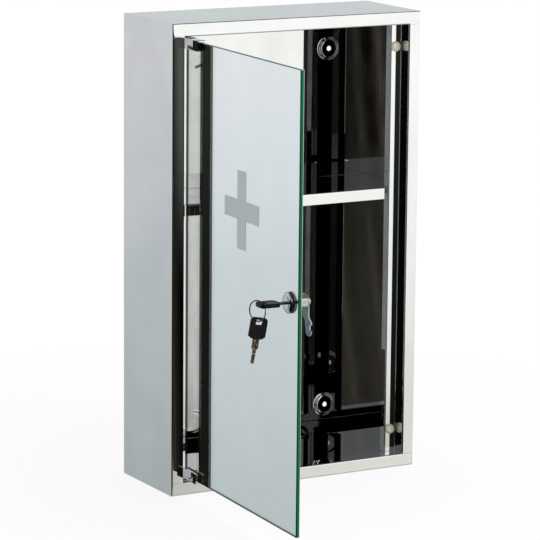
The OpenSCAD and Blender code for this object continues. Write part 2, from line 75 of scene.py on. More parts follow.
# The lock's own axes: X towards the door's free edge, Y into the cabinet, Z up. The origin is where
# the lock's axis meets the glass's front face.
INTO = -Vector(JOINTS["lock_turn"]["axis"])
LOCK = Matrix((INTO.cross(UP), INTO, UP)).transposed().to_4x4()
LOCK.translation = JOINTS["lock_turn"]["pos_m"]

# The sizes of the pieces are in millimetres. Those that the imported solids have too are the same.
# NEAR is how close a point has to lie to count as on a plane or a ring, and NEAR_FRONT the same for
# the front face, whose bends begin close behind it. FLAT is how squarely a face has to look along
# an axis to count as flat on it.
NEAR, NEAR_FRONT, FLAT = 0.1, 0.02, 0.99

# How much the corners of the plainer pieces are eased
EASE = {
    "shelf": 0.25, "shelf_supports": 0.15,
    "top_clamp": 0.45, "bottom_clamp": 0.45,
    "top_pivot_pin": 0.2, "bottom_pivot_pin": 0.2, "clamp_screws": 0.2,
    "lock_nut": 0.3, "lock_washer": 0.12,
    "cam": 0.2, "cam_washer": 0.1, "cam_screw": 0.15,
}

# Cabinet: the front flange, the sheet, the wall holes with their pressed bosses, how much seams and
# bosses are eased, and the least length of a seam
FLANGE_W, SHEET_T = 14.0, 0.8
HOLE_X, HOLE_Z = 100.0, 200.0
BOSS_TOP_R, BOSS_FOOT_R = 10.0, 12.5
SEAM_EASE, BOSS_EASE, SEAM_L = 0.4, 1.6, 5.0

# Glass: its thickness, its arris, how deep its silver seems to lie, and how far the silver's sides
# stay inside the pane's own. Edges up to FACET_L long belong to the lock's hole and keep sharp.
GLASS_T, ARRIS, SILVER_DEPTH, INSIDE = 4.0, 0.4, 1.43, 0.06
FACET_L = 3.5

# Lock: radii, and depths behind the glass's front face. THREAD_ROOT is where the root starts and
# ends, as shares of the pitch. The plug stands PLUG_PROUD before the head.
HEAD_R, HEAD_FRONT, HEAD_BACK, HEAD_EASE = 11.0, -2.9, -0.5, 0.1
BARREL_R, BARREL_END, BARREL_FLATS, BARREL_EASE = 8.4, 18.0, 14.2, 0.6
BORE_R, LIP_R, LIP_BACK, LIP_EASE = 5.55, 6.45, -1.6, 0.12
THREAD_START, THREAD_PITCH, THREAD_DEPTH = 0.6, 1.0, 0.45
THREAD_ROOT = (0.42, 0.56)
PLUG_PROUD, MOUTH_R, MOUTH_EASE = 0.3, 4.2, 0.8
# The head's face from its inner ring to its rim: radius, and depth behind the foremost ring
HEAD_FACE = ((7.3, 0.0), (7.4, 0.3), (7.8, 0.3), (7.95, 0.08), (8.6, 0.22), (9.3, 0.5),
             (9.9, 0.88), (10.4, 1.3), (10.75, 1.7))

# Keys; a key is drawn with its shoulder at the origin, blade along +Y
BOW_W, BOW_L, BOW_T, BOW_EASE = 18.0, 21.5, 4.2, 0.75
BOW_CORNER, BOW_SHOULDER = 4.0, 4.0
PANEL_RIM, PANEL_WALL, PANEL_DEPTH = 0.9, 0.2, 0.4
SLOT_W, SLOT_H, BAR_H = 8.2, 5.0, 2.4
BLADE_W, BLADE_T, BLADE_L, BLADE_IN_BOW = 6.6, 1.9, 24.5, 5.0
BLADE_OUT, BLADE_EASE = 8.4, 0.1
ROOT_L, ROOT_SLOPE, STEM_R, TIP_R, TIP_L = 9.0, 1.6, 1.75, 0.8, 1.2
# The cuts down the stem: where they start behind the root, their pitch, their depths, and the
# places along one cut where its slopes end
CUT_START, CUT_PITCH, CUTS, CUT_ENDS = 2.0, 2.6, (0.3, 0.6, 0.4, 0.65, 0.3), (0.7, 1.4, 2.1)
GROOVE_R, GROOVE_WALL, GROOVE_DEPTH = 0.5, 0.08, 0.4
KEY = LOCK @ Matrix.Translation((0, (HEAD_FRONT - BLADE_OUT) * MM, 0))

# The ring and the key that hangs on it; angles in degrees
RING_R, WIRE_D, RING_YAW = 10.25, 1.5, 24.0
COIL_W, COIL_T, COIL_GAP, COIL_TURNS, COIL_STEPS = 1.35, 0.5, 0.02, 1.85, 148
SPARE_YAW, SPARE_TILT, SPARE_OFF, SPARE_GAP = 93.0, 10.5, 2.0, 0.8
HANG = LOCK.copy()
HANG.translation = JOINTS["spare_key_swing"]["pos_m"]
SPARE = (HANG @ Matrix.Rotation(math.radians(SPARE_YAW), 4, "Z")
         @ Matrix.Rotation(math.radians(SPARE_TILT), 4, "Y")
         @ Matrix.Translation((SPARE_OFF * MM, 0, (WIRE_D / 2 + SPARE_GAP + BAR_H - BOW_L) * MM))
         @ Matrix.Rotation(math.radians(-90), 4, "X"))
RING = (HANG @ Matrix.Translation((0, 0, RING_R * MM))
        @ Matrix.Rotation(math.radians(RING_YAW), 4, "Z"))

# The room: strengths of what mirrors see and of the even fill, and lamps in metres and watts
ROOM_POWER, FILL_POWER = 1.35, 0.80
KEY_LAMP = {"place": (1.6, -2.2, 2.0), "size": 1.2, "power": 55}
FILL_LAMP = {"place": (-2.6, -1.6, 1.2), "size": 1.6, "power": 22}
LAMP_AIM = (0, -0.1, 0)
FLOOR_R, FLOOR_DROP = 4.0, 0.0005
# The floor's own glow grows from the first share to the second between these distances
FLOOR_FAR, FLOOR_GLOW = (0.3, 0.75), (0.88, 1.0)

# Where the room's fields meet, as the low and high end of a part of the direction looked in
PALE_BEHIND_Y = (0.30, 0.58)
SCREEN_X = (-0.06, 0.14)
CEILING_Z = (0.62, 0.82)
CLOTH_FOLDS_X = (-0.70, -0.34)
CLOTH_LOW_Z = (-0.20, -0.13)
CLOTH_TOP_Z = (0.0, 0.45)
HEIGHT_Z = (-0.40, 0.30)
SHADE_X, SHADE_Z = (0.445, 0.485), (-0.25, -0.225)
# The shade low on the screen, and the cloth's fine pleats
SHADE, PLEAT, PLEAT_SCALE = 0.55, 0.6, 330.0


# ---- small tools ----

def rgb(hex_code):
    """An sRGB hex colour as the linear colour that a shader takes."""
    parts = [int(hex_code[i:i + 2], 16) / 255 for i in (1, 3, 5)]
    linear = [c / 12.92 if c <= 0.04045 else ((c + 0.055) / 1.055) ** 2.4 for c in parts]
    return linear + [1.0]


def add(tree, kind, settings=None, **inputs):
    """Adds a node. Settings are its properties; inputs are values or other nodes' outputs.

    An input named _0 or _1 goes by its place, any other by its name.
    """
    node = tree.nodes.new(kind)
    for name, value in (settings or {}).items():
        setattr(node, name, value)
    for name, value in inputs.items():
        key = int(name[1:]) if name[1:].isdigit() else name.replace("_", " ")
        if isinstance(value, bpy.types.NodeSocket):
            tree.links.new(value, node.inputs[key])
        else:
            node.inputs[key].default_value = value
    return node


def material(name, **sockets):
    """A new material with a Principled surface and its uniform values on the shader's own sockets.

    Returns the material, its node tree and its surface.
    """
    mat = bpy.data.materials.new(name)
    mat.use_nodes = True
    surface = mat.node_tree.nodes["Principled BSDF"]
    for key, value in sockets.items():
        surface.inputs[key.replace("_", " ")].default_value = value
    return mat, mat.node_tree, surface


def ramp(tree, fac, *stops):
    """A colour ramp through (place, hex colour) stops."""
    node = add(tree, "ShaderNodeValToRGB", Fac=fac)
    marks = node.color_ramp.elements
    while len(marks) < len(stops):
        marks.new(0.5)
    for mark, (place, colour) in zip(marks, stops):
        mark.position = place
        mark.color = rgb(colour)
    return node.outputs["Color"]


def spread(tree, value, low, high, to_low, to_high):
    """Maps a value from one range to another, clamped."""
    return add(tree, "ShaderNodeMapRange", Value=value, From_Min=low, From_Max=high, To_Min=to_low,
               To_Max=to_high).outputs["Result"]


def cloud(tree, size_mm, detail=2.0, stretch=(1, 1, 1)):
    """Noise on object coordinates, in patches about size_mm across, stretched along each axis."""
    where = add(tree, "ShaderNodeTexCoord").outputs["Object"]
    scale = [1000 / (size_mm * s) for s in stretch]
    place = add(tree, "ShaderNodeMapping", Vector=where, Scale=scale).outputs["Vector"]
    return add(tree, "ShaderNodeTexNoise", Vector=place, Scale=1.0, Detail=detail).outputs["Fac"]


def relief(tree, surface, height, depth_mm, strength=1.0):
    """Bump from a height between 0 and 1 that is depth_mm deep."""
    bump = add(tree, "ShaderNodeBump", Height=height, Distance=depth_mm * MM, Strength=strength)
    tree.links.new(bump.outputs["Normal"], surface.inputs["Normal"])


def times(tree, a, b):
    """The product of two values."""
    return add(tree, "ShaderNodeMath", {"operation": "MULTIPLY"}, _0=a, _1=b).outputs[0]


def link(tree, output, surface, socket):
    tree.links.new(output, surface.inputs[socket])


def worn(tree, width_mm):
    """Bright where an edge turns within width_mm: a painted highlight along edges."""
    soft = add(tree, "ShaderNodeBevel", {"samples": 4}, Radius=width_mm * MM).outputs["Normal"]
    flat = add(tree, "ShaderNodeNewGeometry").outputs["Normal"]
    turn = add(tree, "ShaderNodeVectorMath", {"operation": "DOT_PRODUCT"}, _0=soft, _1=flat)
    return spread(tree, turn.outputs["Value"], 0.995, 0.90, 0.0, 1.0)


# ---- camera ----

FOCAL_PX, FRAME_PX, SENSOR_MM = 3134.9, 540, 36.0
CAM_AZIMUTH, CAM_ELEVATION, CAM_ROLL = -29.169, 10.988, 0.509
CAM_PLACE = (-1.6189, -2.9545, 0.6154)
CAM_CLIP = (0.1, 50.0)


def look():
    """The camera: focal length in pixels of a square frame, angles in degrees, place in metres."""
    cam = bpy.data.cameras.new("camera")
    cam.sensor_width = SENSOR_MM
    cam.lens = FOCAL_PX / FRAME_PX * SENSOR_MM
    cam.clip_start, cam.clip_end = CAM_CLIP
    obj = bpy.data.objects.new("camera", cam)
    bpy.context.scene.collection.objects.link(obj)
    az, el, roll = (math.radians(a) for a in (CAM_AZIMUTH, CAM_ELEVATION, CAM_ROLL))
    back = Vector((math.sin(az) * math.cos(el), -math.cos(az) * math.cos(el), math.sin(el)))
    right = (-back).cross(UP).normalized()
    up = right.cross(-back)
    right, up = (math.cos(roll) * right + math.sin(roll) * up,
                 math.cos(roll) * up - math.sin(roll) * right)
    turn = Matrix((right, up, back)).transposed().to_4x4()
    obj.matrix_world = Matrix.Translation(CAM_PLACE) @ turn
    bpy.context.scene.camera = obj


# ---- studio ----

def step(tree, value, low, high):
    """0 below low and 1 above high, with a soft rise between them."""
    return add(tree, "ShaderNodeMapRange", {"interpolation_type": "SMOOTHSTEP"}, Value=value,
               From_Min=low, From_Max=high).outputs["Result"]


def blend(tree, fac, a, b):
    """A mix of two colours, each a value or a node's output."""
    node = add(tree, "ShaderNodeMix", {"data_type": "RGBA"})
    for socket, value in (("Factor_Float", fac), ("A_Color", a), ("B_Color", b)):
        target = next(s for s in node.inputs if s.identifier == socket)
        if isinstance(value, bpy.types.NodeSocket):
            tree.links.new(value, target)
        else:
            target.default_value = value
    return next(s for s in node.outputs if s.identifier == "Result_Color")


def black_cloth(tree, x, z):
    """Black cloth at the left front: paler folds at its edges, fine pleats, grey above it."""
    fold = spread(tree, x, *CLOTH_FOLDS_X, 0.0, 1.0)
    high = ramp(tree, fold, (0.0, "#080808"), (0.18, "#080808"), (0.26, "#565751"),
                (0.39, "#565751"), (0.44, "#060605"), (0.72, "#060605"), (0.86, "#292A24"))
    low = ramp(tree, fold, (0.0, "#080808"), (0.26, "#040404"), (0.40, "#040404"),
               (0.47, "#2C2A24"), (0.72, "#2C2A24"), (0.86, "#1A1A16"))
    cloth = blend(tree, step(tree, z, *CLOTH_LOW_Z), low, high)
    noise = add(tree, "ShaderNodeTexNoise", {"noise_dimensions": "1D"}, W=x, Scale=PLEAT_SCALE,
                Detail=1.0).outputs["Fac"]
    inside = ramp(tree, fold, (0.0, "#000000"), (0.42, "#000000"), (0.50, "#FFFFFF"),
                  (0.72, "#FFFFFF"), (0.82, "#000000"))
    pleats = times(tree, inside, spread(tree, noise, 0.54, 0.68, 0.0, PLEAT))
    cloth = blend(tree, pleats, cloth, rgb("#6E695D"))
    return blend(tree, step(tree, z, *CLOTH_TOP_Z), cloth, rgb("#8A8C8E"))


def room(tree):
    """The colour and the strength of what the polished sheet mirrors, by direction."""
    place = add(tree, "ShaderNodeTexCoord").outputs["Generated"]
    axes = add(tree, "ShaderNodeSeparateXYZ", Vector=place)
    x, y, z = axes.outputs["X"], axes.outputs["Y"], axes.outputs["Z"]
    height = spread(tree, z, *HEIGHT_Z, 0.0, 1.0)
    behind = ramp(tree, height, (0.0, "#B4BABC"), (0.20, "#C2C9CB"), (0.25, "#CCD3D5"),
                  (0.30, "#D3DADD"), (0.33, "#DEE3E7"), (0.39, "#EAECEF"), (0.60, "#DEE2E4"),
                  (1.0, "#CFD5D6"))
    screen = ramp(tree, height, (0.0, "#B8B8B2"), (0.20, "#E0DFD9"), (0.23, "#DEDDD8"),
                  (0.30, "#F0F0EC"), (0.39, "#FFFFFC"), (1.0, "#FFFFFF"))
    shade = times(tree, spread(tree, x, *SHADE_X, SHADE, 0.0), spread(tree, z, *SHADE_Z, 1.0, 0.0))
    screen = blend(tree, shade, screen, rgb("#A2A29A"))
    front = blend(tree, step(tree, x, *SCREEN_X), black_cloth(tree, x, z), screen)
    turn = step(tree, y, *PALE_BEHIND_Y)
    colour = blend(tree, turn, front, behind)
    colour = blend(tree, step(tree, z, *CEILING_Z), colour, rgb("#4A4A48"))
    bright = blend(tree, turn, rgb("#FFFFFF"), rgb("#DCDCDC"))
    level = add(tree, "ShaderNodeRGBToBW", Color=bright).outputs["Val"]
    return colour, times(tree, level, ROOM_POWER)


def lamp(name, place, size, power):
    """A round lamp that lights the object but isn't mirrored in it."""
    light = bpy.data.lights.new(name, "AREA")
    light.shape = "DISK"
    light.size = size
    light.energy = power
    obj = bpy.data.objects.new(name, light)
    obj.location = place
    aim = Vector(LAMP_AIM) - Vector(place)
    obj.rotation_euler = aim.to_track_quat("-Z", "Y").to_euler()
    obj.visible_glossy = False
    bpy.context.scene.collection.objects.link(obj)


def studio():
    """Pale paper behind, a large white screen at the right, black cloth at the left front.

    Mirror-sharp rays see this room, matt surfaces get an even fill, and the camera sees white.
    """
    scene = bpy.context.scene
    scene.view_settings.view_transform = "Standard"
    scene.world = bpy.data.worlds.new("studio")
    scene.world.use_nodes = True
    tree = scene.world.node_tree
    tree.nodes.clear()
    colour, strength = room(tree)
    path = add(tree, "ShaderNodeLightPath")
    fill = add(tree, "ShaderNodeBackground", Color=rgb("#E8EAEB"), Strength=FILL_POWER)
    shine = add(tree, "ShaderNodeBackground", Color=colour, Strength=strength)
    white = add(tree, "ShaderNodeBackground", Color=(1, 1, 1, 1), Strength=1.0)
    sharp = add(tree, "ShaderNodeMath", {"operation": "MAXIMUM"}, _0=path.outputs["Is Glossy Ray"],
                _1=path.outputs["Is Transmission Ray"]).outputs[0]
    mixed = add(tree, "ShaderNodeMixShader", Fac=sharp, _1=fill.outputs[0], _2=shine.outputs[0])
    seen = add(tree, "ShaderNodeMixShader", Fac=path.outputs["Is Camera Ray"], _1=mixed.outputs[0],
               _2=white.outputs[0])
    tree.links.new(seen.outputs[0], add(tree, "ShaderNodeOutputWorld").inputs["Surface"])

    lamp("key_lamp", **KEY_LAMP)
    lamp("fill_lamp", **FILL_LAMP)

    bm = bmesh.new()
    bmesh.ops.create_circle(bm, cap_ends=True, segments=96, radius=FLOOR_R)
    bmesh.ops.translate(bm, verts=bm.verts, vec=(0, 0, cad_low[2] - FLOOR_DROP))
    floor = piece("floor", bm, floor_paper())
    floor.visible_glossy = False


def floor_paper():
    # seamless paper: it reads as white, and keeps a faint shade and the shadow near the object
    mat, tree, surface = material("seamless paper, white", Base_Color=rgb("#F4F4F2"), Roughness=0.9)
    glow = add(tree, "ShaderNodeEmission", Color=(1, 1, 1, 1), Strength=1.0)
    path = add(tree, "ShaderNodeLightPath")
    where = add(tree, "ShaderNodeTexCoord").outputs["Object"]
    far = add(tree, "ShaderNodeVectorMath", {"operation": "LENGTH"}, _0=where).outputs["Value"]
    share = spread(tree, far, *FLOOR_FAR, *FLOOR_GLOW)
    fac = times(tree, path.outputs["Is Camera Ray"], share)
    relief(tree, surface, cloud(tree, 1.2), 0.05, 0.3)
    both = add(tree, "ShaderNodeMixShader", Fac=fac, _1=surface.outputs[0], _2=glow.outputs[0])
    tree.links.new(both.outputs[0], tree.nodes["Material Output"].inputs["Surface"])
    return mat


# ---- materials ----

def polished_sheet():
    # stainless sheet, mirror-polished: sharp reflections, faint hand smudges, fine vertical lines
    mat, tree, surface = material("stainless steel sheet, mirror-polished", Metallic=1.0)
    smudge = cloud(tree, 60, 3.0)
    lines = cloud(tree, 1.4, 2.0, (1, 1, 60))
    link(tree, ramp(tree, smudge, (0.35, "#D6D7D7"), (0.65, "#DDDEDE")), surface, "Base Color")
    rough = add(tree, "ShaderNodeMath", {"operation": "MULTIPLY_ADD"}, _0=lines, _1=0.01,
                _2=spread(tree, smudge, 0.45, 0.75, 0.006, 0.03))
    link(tree, rough.outputs[0], surface, "Roughness")
    relief(tree, surface, lines, 0.0008)
    return mat


def bright_sheet():
    # stainless sheet, bright annealed: a softer mirror, with the rolling direction along the height
    mat, tree, surface = material("stainless steel sheet, bright annealed", Metallic=1.0)
    smudge = cloud(tree, 45, 3.0)
    lines = cloud(tree, 1.6, 3.0, (1, 1, 90))
    link(tree, ramp(tree, smudge, (0.35, "#CFD0CF"), (0.65, "#D8D9D8")), surface, "Base Color")
    rough = add(tree, "ShaderNodeMath", {"operation": "MULTIPLY_ADD"}, _0=lines, _1=0.015,
                _2=spread(tree, smudge, 0.45, 0.75, 0.01, 0.04))
    link(tree, rough.outputs[0], surface, "Roughness")
    relief(tree, surface, lines, 0.0012)
    return mat


def clear_glass():
    # float glass: a clear face whose own faint sharp reflection lies beside the silver's
    mat, tree, surface = material("float glass, clear", Metallic=1.0, Alpha=0.12)
    smudge = cloud(tree, 35, 4.0)
    link(tree, ramp(tree, smudge, (0.4, "#F4F8F7"), (0.7, "#FAFDFC")), surface, "Base Color")
    link(tree, spread(tree, smudge, 0.55, 0.8, 0.0, 0.02), surface, "Roughness")
    return mat


def silvering():
    # silver deposited on the glass: a clean mirror, cooled a little by the glass before it
    mat, tree, surface = material("silver, chemically deposited", Metallic=1.0, Roughness=0.0)
    tone = cloud(tree, 40, 2.0)
    link(tree, ramp(tree, tone, (0.4, "#F6F9F9"), (0.7, "#F8FBFB")), surface, "Base Color")
    return mat


def glass_edge_with_painted_light():
    # float glass edge, ground and polished: deep green, with painted shade in near-black bands
    # where it meets the faces and a painted highlight in a pale band at its back arris; the stops
    # run through the glass from its front face to its backing paint
    mat, tree, surface = material("float glass edge, ground and polished", Roughness=0.2,
                                  Specular_IOR_Level=0.05)
    where = add(tree, "ShaderNodeTexCoord").outputs["Object"]
    depth = add(tree, "ShaderNodeVectorMath", {"operation": "DOT_PRODUCT"}, _0=where, _1=INTO)
    start = INTO.dot(LOCK.translation)
    across = spread(tree, depth.outputs["Value"], start, start + GLASS_T * MM, 0.0, 1.0)
    # painted shade and highlight: the near-black stops by the faces stand for shade, the pale stops
    # at the back for light caught on the arris; the greens between are the glass's own colour
    link(tree, ramp(tree, across, (0.0, "#1E4034"), (0.12, "#06190F"), (0.24, "#08301F"),
                    (0.45, "#0A6A45"), (0.78, "#08603E"), (0.87, "#06301F"), (0.93, "#71897E"),
                    (1.0, "#8FA39A")),
         surface, "Base Color")
    relief(tree, surface, cloud(tree, 0.8, 2.0, (1, 1, 25)), 0.03, 0.5)
    return mat


def backing_paint():
    # mirror backing paint, curtain-coated: dull grey with a slight orange peel
    mat, tree, surface = material("mirror backing paint, grey", Specular_IOR_Level=0.4)
    peel = cloud(tree, 2.2, 2.0)
    link(tree, ramp(tree, cloud(tree, 30, 3.0), (0.35, "#868C8F"), (0.65, "#92989B")), surface,
         "Base Color")
    link(tree, spread(tree, peel, 0.3, 0.7, 0.38, 0.52), surface, "Roughness")
    relief(tree, surface, peel, 0.03, 0.6)
    return mat


def etched_film():
    # vinyl film, sand-blast look: an even pale grey with a fine grain
    mat, tree, surface = material("vinyl film, sand-blast look", Specular_IOR_Level=0.5)
    grain = cloud(tree, 0.9, 2.0)
    link(tree, ramp(tree, grain, (0.3, "#A3AEAE"), (0.7, "#B2BCBC")), surface, "Base Color")
    link(tree, spread(tree, grain, 0.3, 0.7, 0.42, 0.58), surface, "Roughness")
    relief(tree, surface, grain, 0.02, 0.6)
    return mat


def chrome():
    # zinc die casting, polished and chromed: a deep blue-white mirror, with fine swirls from use
    mat, tree, surface = material("chromed zinc die casting", Metallic=1.0)
    swirl = cloud(tree, 3.0, 4.0)
    link(tree, ramp(tree, swirl, (0.3, "#D0D2D8"), (0.7, "#D8DADF")), surface, "Base Color")
    link(tree, spread(tree, swirl, 0.45, 0.8, 0.02, 0.05), surface, "Roughness")
    relief(tree, surface, swirl, 0.004, 0.2)
    return mat


def nickel():
    # bright nickel plating on wire or brass: warm silver, rubbed where it slides
    mat, tree, surface = material("nickel plating, bright", Metallic=1.0)
    rub = cloud(tree, 2.5, 3.0)
    link(tree, ramp(tree, rub, (0.3, "#A79F92"), (0.7, "#CFCBC2")), surface, "Base Color")
    link(tree, spread(tree, rub, 0.3, 0.7, 0.10, 0.26), surface, "Roughness")
    relief(tree, surface, cloud(tree, 0.8, 2.0), 0.01, 0.4)
    return mat


def zinc_plate():
    # steel pressing, zinc-plated and blue-passivated: dull silver with a blue cast
    mat, tree, surface = material("zinc-plated steel, blue-passivated", Metallic=1.0)
    tone = cloud(tree, 5.0, 3.0)
    link(tree, ramp(tree, tone, (0.3, "#93A3AE"), (0.55, "#AFBBC3"), (0.75, "#B9B9BE")), surface,
         "Base Color")
    link(tree, spread(tree, tone, 0.3, 0.7, 0.22, 0.36), surface, "Roughness")
    relief(tree, surface, cloud(tree, 0.7, 2.0), 0.02, 0.5)
    return mat


def soft_pvc():
    # PVC, moulded, soft and translucent: milky cream with a wet gloss
    mat, tree, surface = material("soft PVC, moulded, translucent", IOR=1.5, Subsurface_Weight=0.2,
                                  Subsurface_Scale=0.001)
    tone = cloud(tree, 4.0, 2.0)
    link(tree, ramp(tree, tone, (0.3, "#D6D0B8"), (0.7, "#E2DDC9")), surface, "Base Color")
    link(tree, spread(tree, tone, 0.3, 0.7, 0.18, 0.30), surface, "Roughness")
    relief(tree, surface, cloud(tree, 1.0, 2.0), 0.02, 0.3)
    return mat


def black_rubber():
    # EPDM rubber, cut from sheet: deep matt black with talc in its pores
    mat, tree, surface = material("EPDM rubber sheet", Specular_IOR_Level=0.35)
    pores = cloud(tree, 0.8, 3.0)
    link(tree, ramp(tree, pores, (0.35, "#101110"), (0.7, "#222322")), surface, "Base Color")
    link(tree, spread(tree, pores, 0.3, 0.7, 0.6, 0.8), surface, "Roughness")
    relief(tree, surface, pores, 0.03, 0.6)
    return mat


def nylon():
    # polyamide, injection-moulded: waxy off-white
    mat, tree, surface = material("polyamide, injection-moulded", IOR=1.53, Subsurface_Weight=0.2,
                                  Subsurface_Scale=0.001)
    tone = cloud(tree, 1.5, 2.0)
    link(tree, ramp(tree, tone, (0.3, "#D8D7CD"), (0.7, "#E6E5DC")), surface, "Base Color")
    link(tree, spread(tree, tone, 0.3, 0.7, 0.32, 0.45), surface, "Roughness")
    relief(tree, surface, tone, 0.01, 0.4)
    return mat


def black_abs():
    # ABS, injection-moulded with a spark-eroded grain: satin black, with a painted highlight that
    # makes its edges paler
    mat, tree, surface = material("ABS, injection-moulded, black", Specular_IOR_Level=0.12)
    grain = cloud(tree, 0.5, 2.0)
    # painted highlight: the edges are coloured paler where they turn
    edge = worn(tree, 0.5)
    tone = add(tree, "ShaderNodeMath", {"operation": "MULTIPLY_ADD"}, _0=edge, _1=0.5, _2=grain)
    link(tree, ramp(tree, tone.outputs[0], (0.3, "#060607"), (0.7, "#0C0C0D"), (1.0, "#2C2C2B")),
         surface, "Base Color")
    link(tree, spread(tree, grain, 0.3, 0.7, 0.26, 0.40), surface, "Roughness")
    relief(tree, surface, grain, 0.01, 0.3)
    return mat


def key_brass():
    # nickel-plated brass key blank: dull, the plating worn through to brass and dark in the grooves
    mat, tree, surface = material("brass key blank, nickel worn through", Metallic=1.0)
    wear = cloud(tree, 2.2, 4.0)
    link(tree, ramp(tree, wear, (0.3, "#2A2318"), (0.52, "#554A38"), (0.76, "#BAB1A0")), surface,
         "Base Color")
    link(tree, spread(tree, wear, 0.3, 0.7, 0.22, 0.42), surface, "Roughness")
    relief(tree, surface, cloud(tree, 0.6, 3.0), 0.03, 0.6)
    return mat


# ---- making and seating pieces ----

def piece(name, bm, *mats, crease=None):
    """Makes an object from a bmesh. It is shaded smooth if given a crease, in degrees: edges that
    turn by more stay sharp.
    """
    mesh = bpy.data.meshes.new(name)
    bm.to_mesh(mesh)
    bm.free()
    for mat in mats:
        mesh.materials.append(mat)
    if crease is not None:
        mesh.shade_smooth()
        mesh.set_sharp_from_angle(angle=math.radians(crease))
    obj = bpy.data.objects.new(name, mesh)
    bpy.context.scene.collection.objects.link(obj)
    if crease is not None:
        weigh = obj.modifiers.new("even shading", "WEIGHTED_NORMAL")
        weigh.keep_sharp = True
        weigh.weight = 80
    return obj


def seat(obj, *nodes):
    """The piece stands for these nodes and rides on their body; the nodes are hidden."""
    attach(obj, NODES[nodes[0]]["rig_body"])
    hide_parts(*nodes)


def dress(mat, *nodes):
    """Gives CAD nodes their material."""
    for node in nodes:
        NODES[node].data.materials.clear()
        NODES[node].data.materials.append(mat)


def merged(node):
    """A copy of a CAD node's mesh with its loose triangles joined into whole flat faces."""
    bm = bmesh.new()
    bm.from_mesh(NODES[node].data)
    bmesh.ops.remove_doubles(bm, verts=bm.verts, dist=2e-6)
    bmesh.ops.dissolve_limit(bm, angle_limit=math.radians(0.4), verts=bm.verts, edges=bm.edges)
    return bm


def corners(bm, turn=40.0, longer=0.0):
    """The edges where the surface turns by more than turn degrees, if over longer millimetres."""
    return [e for e in bm.edges if len(e.link_faces) == 2 and e.calc_length() > longer * MM
            and e.calc_face_angle() > math.radians(turn)]


def ease(bm, edges, width, segments=2, clamp=True):
    """Rounds edges over by width millimetres."""
    bmesh.ops.bevel(bm, geom=edges, offset=width * MM, offset_type="OFFSET", segments=segments,
                    profile=0.5, material=-1, affect="EDGES", clamp_overlap=clamp, loop_slide=False)


def eased_copy(node, mat, crease=35.0, segments=2):
    """A piece in a CAD node's shape, with its corners eased as the real one's are."""
    bm = merged(node)
    if node in EASE:
        ease(bm, corners(bm), EASE[node], segments)
    seat(piece(node + "_finished", bm, mat, crease=crease), node)


def lifted(grown):
    """The points of an extruded region."""
    return [v for v in grown["geom"] if isinstance(v, bmesh.types.BMVert)]


def turned(profile, steps=72):
    """A shape spun about Y through (radius, depth) points in millimetres."""
    bm = bmesh.new()
    verts = [bm.verts.new((r * MM, y * MM, 0)) for r, y in profile]
    for a, b in zip(verts, verts[1:] + verts[:1]):
        bm.edges.new((a, b))
    bmesh.ops.spin(bm, geom=bm.verts[:] + bm.edges[:], cent=(0, 0, 0), axis=(0, 1, 0),
                   dvec=(0, 0, 0), angle=math.tau, steps=steps, use_merge=True)
    bmesh.ops.remove_doubles(bm, verts=bm.verts, dist=1e-6)
    bmesh.ops.recalc_face_normals(bm, faces=bm.faces)
    return bm


def plate(outline, thickness):
    """A flat plate in the XY plane, centred on it, from outline points in millimetres."""
    bm = bmesh.new()
    face = bm.faces.new([bm.verts.new((x * MM, y * MM, -thickness / 2 * MM)) for x, y in outline])
    grown = bmesh.ops.extrude_face_region(bm, geom=[face])
    bmesh.ops.translate(bm, verts=lifted(grown), vec=(0, 0, thickness * MM))
    bmesh.ops.recalc_face_normals(bm, faces=bm.faces)
    return bm


# ---- cabinet ----

def butts(bm):
    """The front edges along which the side flanges butt against the top and bottom ones."""
    front = min(v.co.y for v in bm.verts) + NEAR_FRONT * MM
    end = cad_high[2] - FLANGE_W * MM
    return [e for e in corners(bm, 60.0, SEAM_L)
            if all(v.co.y < front and abs(abs(v.co.z) - end) < NEAR * MM for v in e.verts)
            and abs(sum(v.co.x for v in e.verts)) / 2 > cad_high[0] - FLANGE_W * MM]


def brows(bm):
    """The foot and the brow of each pressed boss, on the side that faces into the cabinet."""
    def on_flank(point):
        out = math.hypot(abs(point.x) - HOLE_X * MM, abs(point.z) - HOLE_Z * MM)
        return (point.y < (NEAR - SHEET_T) * MM
                and BOSS_TOP_R - NEAR < out / MM < BOSS_FOOT_R + NEAR)

    return [e for e in corners(bm, 25.0) if all(on_flank(v.co) for v in e.verts)]


def cabinet(sheet, inner, pvc, white):
    """The folded panels, the shelf with its supports, the bumpers and the bushes."""
    for node in ("left_side", "right_side", "top_panel", "bottom_panel"):
        bm = merged(node)
        ease(bm, butts(bm), SEAM_EASE, 1, clamp=False)
        seat(piece(node + "_finished", bm, sheet, crease=25.0), node)
    eased_copy("shelf", sheet, crease=25.0, segments=1)
    bm = merged("back_panel")
    ease(bm, brows(bm), BOSS_EASE, 6)
    seat(piece("back_panel_finished", bm, inner, crease=35.0), "back_panel")
    eased_copy("shelf_supports", inner)
    for node in ("top_bumper", "bottom_bumper"):
        eased_copy(node, pvc, crease=75.0)
    dress(white, "top_bush", "bottom_bush")


# ---- door ----

